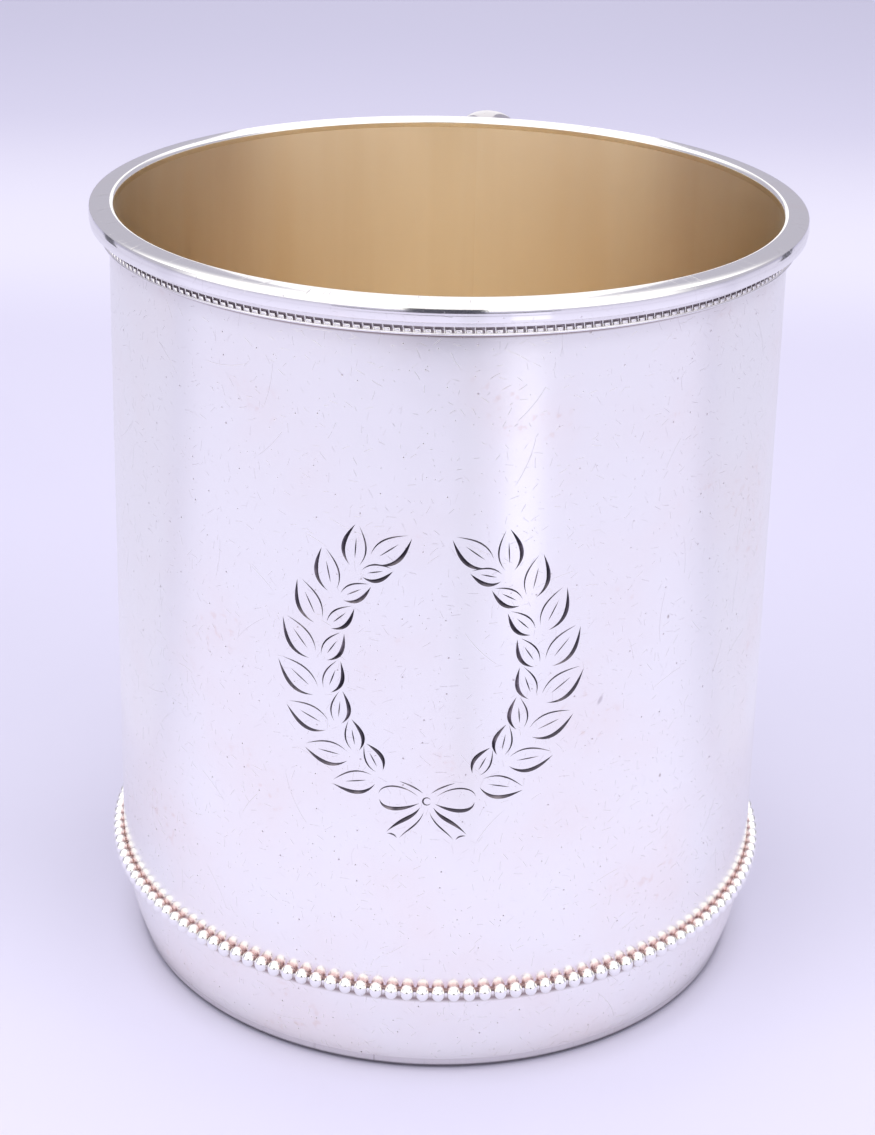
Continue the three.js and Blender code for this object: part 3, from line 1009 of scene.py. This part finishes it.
class MUG_OT_milled_strip(bpy.types.Operator):
    """Make the milled strip: two plain edges and a row of leaning dentils in a groove between them, dark
    with painted shade and tarnish
    """

    bl_idname = "mug.milled_strip"
    bl_label = "Milled Strip"

    def block(self, bm, low, high, rounding):
        """A block between two corners whose outer edges are rounded."""
        made = bmesh.ops.create_cube(bm, size=1.0)
        bmesh.ops.scale(bm, vec=high - low, verts=made["verts"])
        bmesh.ops.translate(bm, vec=(high + low) / 2, verts=made["verts"])
        front = [vert for vert in made["verts"] if vert.co.x > (high.x + low.x) / 2]
        edges = [edge for edge in bm.edges if edge.verts[0] in front and edge.verts[1] in front]
        settings = {"affect": "EDGES", "segments": 2, "profile": 0.5, "material": -1}
        bmesh.ops.bevel(bm, geom=edges, offset=rounding, **settings)

    def dentil(self, bm, trim, back, face, bottom):
        """One dentil on +X with the narrow ridge beside it that reaches up to the upper edge."""
        half = trim.dentil_width / 2
        top = bottom + trim.dentil_height
        self.block(bm, Vector((back, -half, bottom)), Vector((face, half, top)), DENTIL_ROUNDING)
        ridge_low = Vector((back, -half - trim.ridge_width, bottom))
        ridge_high = Vector((face - trim.notch_depth * RIDGE_SETBACK, -half, top + trim.dentil_gap))
        self.block(bm, ridge_low, ridge_high, RIDGE_ROUNDING)
        bmesh.ops.recalc_face_normals(bm, faces=bm.faces)
        # Faces that don't face outwards, the dentils' sides, tops and bottoms, get the notch finish:
        # painted shade and tarnish
        for side in bm.faces:
            if side.normal.x < LEANS_OUT:
                side.material_index = SECOND_FINISH
        lean = math.tan(trim.dentil_lean)
        for vert in bm.verts:
            vert.co.y -= lean * (vert.co.z - (bottom + top) / 2)

    def edge(self, bm, back, face, bottom, top):
        """A plain edge round the mug with its outer corners rounded."""
        rounding = STRIP_ROUNDING
        low = arc((face - rounding, bottom + rounding), rounding, rounding, -math.pi / 2, 0.0, steps=3)
        high = arc((face - rounding, top - rounding), rounding, rounding, 0.0, math.pi / 2, steps=3)
        spin_profile(bm, [(back, bottom)] + low + high + [(back, top)], closed=True)

    def execute(self, context):
        scene = context.scene
        body = scene.mug_body
        trim = scene.mug_trim
        wall = wall_radius(body, trim.strip_bottom)
        face = wall + trim.strip_reach
        tip = face - trim.dentil_setback
        bed = tip - trim.notch_depth
        back = wall - SOLDER
        fillet_top = trim.strip_bottom + trim.fillet_height
        bm = bmesh.new()
        self.dentil(bm, trim, bed - SOLDER, tip, fillet_top - STRIP_OVERLAP)
        repeat_round(bm, trim.dentil_count)
        self.edge(bm, back, face, trim.strip_bottom, fillet_top)
        groove_top = fillet_top + trim.dentil_height + trim.dentil_gap - STRIP_OVERLAP
        self.edge(bm, back, tip, groove_top, body.height - trim.rim_height - STRIP_CLEARANCE)
        # The groove's bed gets the notch finish: painted shade and tarnish
        bed_profile = [(back, fillet_top), (bed, fillet_top), (bed, groove_top), (back, groove_top)]
        for dark in spin_profile(bm, bed_profile, closed=True):
            dark.material_index = SECOND_FINISH
        finishes = [milled_silver(scene.mug_finish), notch_shade(scene.mug_finish)]
        piece = finish_piece("dentil_strip", bm, finishes)
        seat_piece(piece, "milled_strip")
        return {"FINISHED"}


class MUG_OT_beaded_wire(bpy.types.Operator):
    """Make the beaded wire: pearls with flat backs on a thin neck"""

    bl_idname = "mug.beaded_wire"
    bl_label = "Beaded Wire"

    def execute(self, context):
        scene = context.scene
        body = scene.mug_body
        trim = scene.mug_trim
        circle = body.foot_radius + trim.bead_back
        bm = bmesh.new()
        made = bmesh.ops.create_uvsphere(bm, u_segments=14, v_segments=10, radius=0.5)
        size = (trim.bead_depth, trim.bead_width, trim.bead_height)
        bmesh.ops.scale(bm, vec=size, verts=made["verts"])
        for vert in made["verts"]:
            vert.co.x = max(vert.co.x, -trim.bead_back)
        bmesh.ops.translate(bm, vec=(circle, 0.0, body.bead_rise), verts=made["verts"])
        half_step = Matrix.Rotation(math.pi / trim.bead_count, 3, "Z")
        bmesh.ops.rotate(bm, cent=(0, 0, 0), matrix=half_step, verts=made["verts"])
        repeat_round(bm, trim.bead_count)
        neck = trim.bead_neck / 2
        neck_circle = circle - trim.neck_setback
        neck_section = arc((neck_circle, body.bead_rise), neck, neck, 0.0, math.tau * 7 / 8, steps=7)
        spin_profile(bm, neck_section, closed=True)
        silver = pearl_silver(body, trim, scene.mug_finish)
        piece = finish_piece("pearls", bm, [silver], PEARL_SMOOTH_ANGLE)
        seat_piece(piece, "beaded_wire")
        return {"FINISHED"}


class MUG_OT_handle(bpy.types.Operator):
    """Roll the ear-shaped handle along its line and fit its ends to the wall"""

    bl_idname = "mug.handle"
    bl_label = "Handle"

    def line(self, body, handle):
        """Points of the ear from the upper joint over the top to the lower joint."""
        def from_wall(reach, height):
            return Vector((0.0, wall_radius(body, height) + reach, height))

        out = Vector((0.0, 1.0, 0.0))
        down = Vector((0.0, 0.0, -1.0))
        upper = from_wall(-handle.root, handle.upper_joint)
        top = from_wall(handle.top_reach, handle.top - handle.crown)
        widest = Vector((0.0, handle.reach - handle.crown, top.z - handle.widest_drop))
        lower = from_wall(-handle.root, handle.lower_joint)
        bends = (
            (upper, upper + out * handle.lead, top - out * handle.lead, top),
            (
                top,
                top + out * QUARTER_BEND * (widest.y - top.y),
                widest - down * QUARTER_BEND * (top.z - widest.z),
                widest,
            ),
            (
                widest,
                widest + down * QUARTER_BEND * (widest.z - lower.z),
                lower + out * QUARTER_BEND * (widest.y - lower.y),
                lower,
            ),
        )
        points = []
        for bend in bends:
            points += interpolate_bezier(*bend, BEND_POINTS)[:-1]
        points.append(lower)
        return [point for point in points if point.y > wall_radius(body, point.z) - handle.seat]

    def execute(self, context):
        scene = context.scene
        body = scene.mug_body
        handle = scene.mug_handle
        points = self.line(body, handle)
        last = len(points) - 1

        def place(u, v):
            index = round(u * last)
            here = points[index]
            ahead = (points[min(index + 1, last)] - points[max(index - 1, 0)]).normalized()
            outward = Vector((0.0, -ahead.z, ahead.y))
            rise = (here.z - handle.lower_joint) / (handle.top - handle.lower_joint)
            width = handle.lower_width + (handle.width - handle.lower_width) * rise
            turn = math.tau * v
            depth = handle.crown if math.sin(turn) > 0 else handle.belly
            point = here + outward * (depth * math.sin(turn))
            point.x = width / 2 * math.cos(turn)
            if index in (0, last):
                seat_radius = wall_radius(body, point.z) - handle.seat
                point.y = math.sqrt(seat_radius ** 2 - point.x ** 2)
            return point

        bm = bmesh.new()
        rolled_grid(bm, along=last, around=40, place=place)
        open_edges = [edge for edge in bm.edges if edge.is_boundary]
        bmesh.ops.holes_fill(bm, edges=open_edges, sides=0)
        bmesh.ops.recalc_face_normals(bm, faces=bm.faces)
        # The handle's greying is painted shade, standing in for the grey it reflects
        silver = polished_silver("handle_silver", scene.mug_finish, handle_flat, greying=0.55)
        piece = finish_piece("ear_handle", bm, [silver])
        seat_piece(piece, "handle")
        return {"FINISHED"}


class MUG_OT_stage(bpy.types.Operator):
    """Lay the floor, light it from all round and set the camera"""

    bl_idname = "mug.stage"
    bl_label = "Stage"

    def floor(self, stage):
        bm = bmesh.new()
        bmesh.ops.create_grid(bm, x_segments=1, y_segments=1, size=stage.floor_span / 2)
        piece = finish_piece("floor", bm, [floor_paper(stage)])

    def card(self, name, bearing, corners, turn, grey, glow=0.0):
        """A card at a bearing from the camera, in degrees, that only shows as a reflection in the metal."""
        bm = bmesh.new()
        bm.faces.new([bm.verts.new(corner) for corner in corners])
        swing = turn @ Matrix.Rotation(math.radians(bearing), 3, "Z")
        bmesh.ops.rotate(bm, cent=(0, 0, 0), matrix=swing, verts=bm.verts)
        paper = Finish(name, (*grey, 1.0), metallic=0.0, roughness=0.9)
        paper.shade("Emission Color", (1.0, 0.985, 1.0, 1.0))
        paper.shade("Emission Strength", glow)
        piece = finish_piece(name, bm, [paper.material])
        piece.visible_camera = False
        piece.visible_diffuse = False
        piece.visible_shadow = False

    def upright(self, distance, width, low, high):
        """Corners of a card that stands upright in front of the mug."""
        half = width / 2
        sides = ((-half, low), (half, low), (half, high), (-half, high))
        return [(side, -distance, height) for side, height in sides]

    def lying(self, near, far, spread):
        """Corners of a card that lies on the floor and widens away from the mug."""
        sides = ((-near, near), (near, near), (far, far), (-far, far))
        return [(side * spread, -distance, CARD_LIFT) for side, distance in sides]

    def cards(self, turn):
        """Places the cards that stand for the dark, the pale and the lit parts of a room."""
        dark = (0.08, 0.08, 0.1)
        slate = (0.16, 0.16, 0.18)
        shade = (0.66, 0.64, 0.80)
        stand = self.upright(distance=0.4, width=0.06, low=0.0, high=0.09)
        side = self.lying(near=0.07, far=0.5, spread=0.55)
        front = self.upright(distance=0.35, width=0.14, low=0.02, high=0.125)
        back = self.upright(distance=0.9, width=0.25, low=0.0, high=1.0)
        low = self.upright(distance=0.36, width=0.46, low=0.02, high=0.045)
        streak = self.lying(near=0.09, far=0.38, spread=0.06)
        lit = self.lying(near=0.16, far=0.38, spread=0.1)
        self.card("front_card", -0.4, front, turn, dark)
        self.card("back_card", 180, back, turn, dark, glow=1.1)
        self.card("low_card", -0.4, low, turn, (0.28, 0.27, 0.31))
        self.card("left_stand", -124, stand, turn, slate)
        self.card("right_stand", 124, stand, turn, slate)
        for bearing in (-125, 125):
            self.card(f"side_card_{bearing}", bearing, side, turn, shade)
        self.card("shade_card", 7.5, streak, turn, (0.67, 0.65, 0.81))
        self.card("lit_card", 24, lit, turn, (0.72, 0.7, 0.9), glow=0.22)

    def sky(self, scene, stage):
        """A world that lights the floor from overhead and shows the metal a bright front, a grey back."""
        room = Room("studio")
        _, y, z = room.split(room.node("ShaderNodeTexCoord", {}).outputs["Generated"])
        bright = room.larger(room.fade(z, *OVERHEAD), room.fade(y, *IN_FRONT))
        seen = room.mix(bright, stage.back_sky, stage.sky)
        cast = room.mix(room.fade(z, *LIGHT_RISE), stage.low_light, stage.top_light)
        glossy = room.node("ShaderNodeLightPath", {}).outputs["Is Glossy Ray"]
        room.shade("Color", room.mix(glossy, cast, seen))
        scene.world = room.world

    def light(self, scene, stage):
        self.sky(scene, stage)
        scene.cycles.max_bounces = 24
        scene.cycles.glossy_bounces = 16
        scene.cycles.blur_glossy = 0.0
        lamp = bpy.data.lights.new("overhead", "AREA")
        lamp.energy = stage.lamp_power
        lamp.size = stage.lamp_size
        holder = bpy.data.objects.new("overhead", lamp)
        holder.location = (0.0, -stage.lamp_front, stage.lamp_height)
        holder.rotation_euler.x = math.atan(stage.lamp_front / stage.lamp_height)
        holder.visible_glossy = False
        scene.collection.objects.link(holder)

    def camera(self, scene, stage, turn):
        pitch = stage.camera_pitch
        ahead = Vector((0.0, math.cos(pitch), -math.sin(pitch)))
        right = Vector((1.0, 0.0, 0.0))
        down = ahead.cross(right)
        roll = stage.camera_roll
        rolled_right = math.cos(roll) * right + math.sin(roll) * down
        rolled_down = math.cos(roll) * down - math.sin(roll) * right
        axes = Matrix((rolled_right, -rolled_down, -ahead)).transposed()
        place = Vector((stage.camera_aside, -stage.camera_distance, stage.camera_height))
        lens = bpy.data.cameras.new("camera")
        lens.sensor_width = SENSOR_MM
        lens.lens = stage.focal_px / PHOTO_HEIGHT_PX * SENSOR_MM
        lens.clip_start = 0.01
        holder = bpy.data.objects.new("camera", lens)
        holder.matrix_world = (turn @ axes).to_4x4()
        holder.location = turn @ place
        scene.collection.objects.link(holder)
        scene.camera = holder

    def execute(self, context):
        scene = context.scene
        stage = scene.mug_stage
        turn = Matrix.Rotation(stage.camera_bearing, 3, "Z")
        self.floor(stage)
        self.cards(turn)
        self.light(scene, stage)
        self.camera(scene, stage, turn)
        scene.view_settings.view_transform = "Standard"
        return {"FINISHED"}


class MUG_PT_pieces(bpy.types.Panel):
    """Lists the mug's pieces in the order in which they are made"""

    bl_idname = "MUG_PT_pieces"
    bl_label = "Silver Mug"
    bl_space_type = "VIEW_3D"
    bl_region_type = "UI"
    bl_category = "Mug"

    def draw(self, context):
        for operator in OPERATORS:
            self.layout.operator(operator.bl_idname)


GROUPS = {
    "mug_body": MugBody,
    "mug_trim": MugTrim,
    "mug_handle": MugHandle,
    "mug_wreath": MugWreath,
    "mug_finish": MugFinish,
    "mug_stage": MugStage,
}
OPERATORS = (
    MUG_OT_drum,
    MUG_OT_wreath,
    MUG_OT_base_plate,
    MUG_OT_rim_wire,
    MUG_OT_milled_strip,
    MUG_OT_beaded_wire,
    MUG_OT_handle,
    MUG_OT_stage,
)


def register():
    for group in GROUPS.values():
        bpy.utils.register_class(group)
    for name, group in GROUPS.items():
        setattr(bpy.types.Scene, name, PointerProperty(type=group))
    for operator in OPERATORS:
        bpy.utils.register_class(operator)
    bpy.utils.register_class(MUG_PT_pieces)


def unregister():
    bpy.utils.unregister_class(MUG_PT_pieces)
    for operator in reversed(OPERATORS):
        bpy.utils.unregister_class(operator)
    for name, group in GROUPS.items():
        delattr(bpy.types.Scene, name)
        bpy.utils.unregister_class(group)


def main():
    register()
    bpy.ops.mug.drum()
    bpy.ops.mug.wreath()
    bpy.ops.mug.base_plate()
    bpy.ops.mug.rim_wire()
    bpy.ops.mug.milled_strip()
    bpy.ops.mug.beaded_wire()
    bpy.ops.mug.handle()
    bpy.ops.mug.stage()


if __name__ == "__main__":
    main()
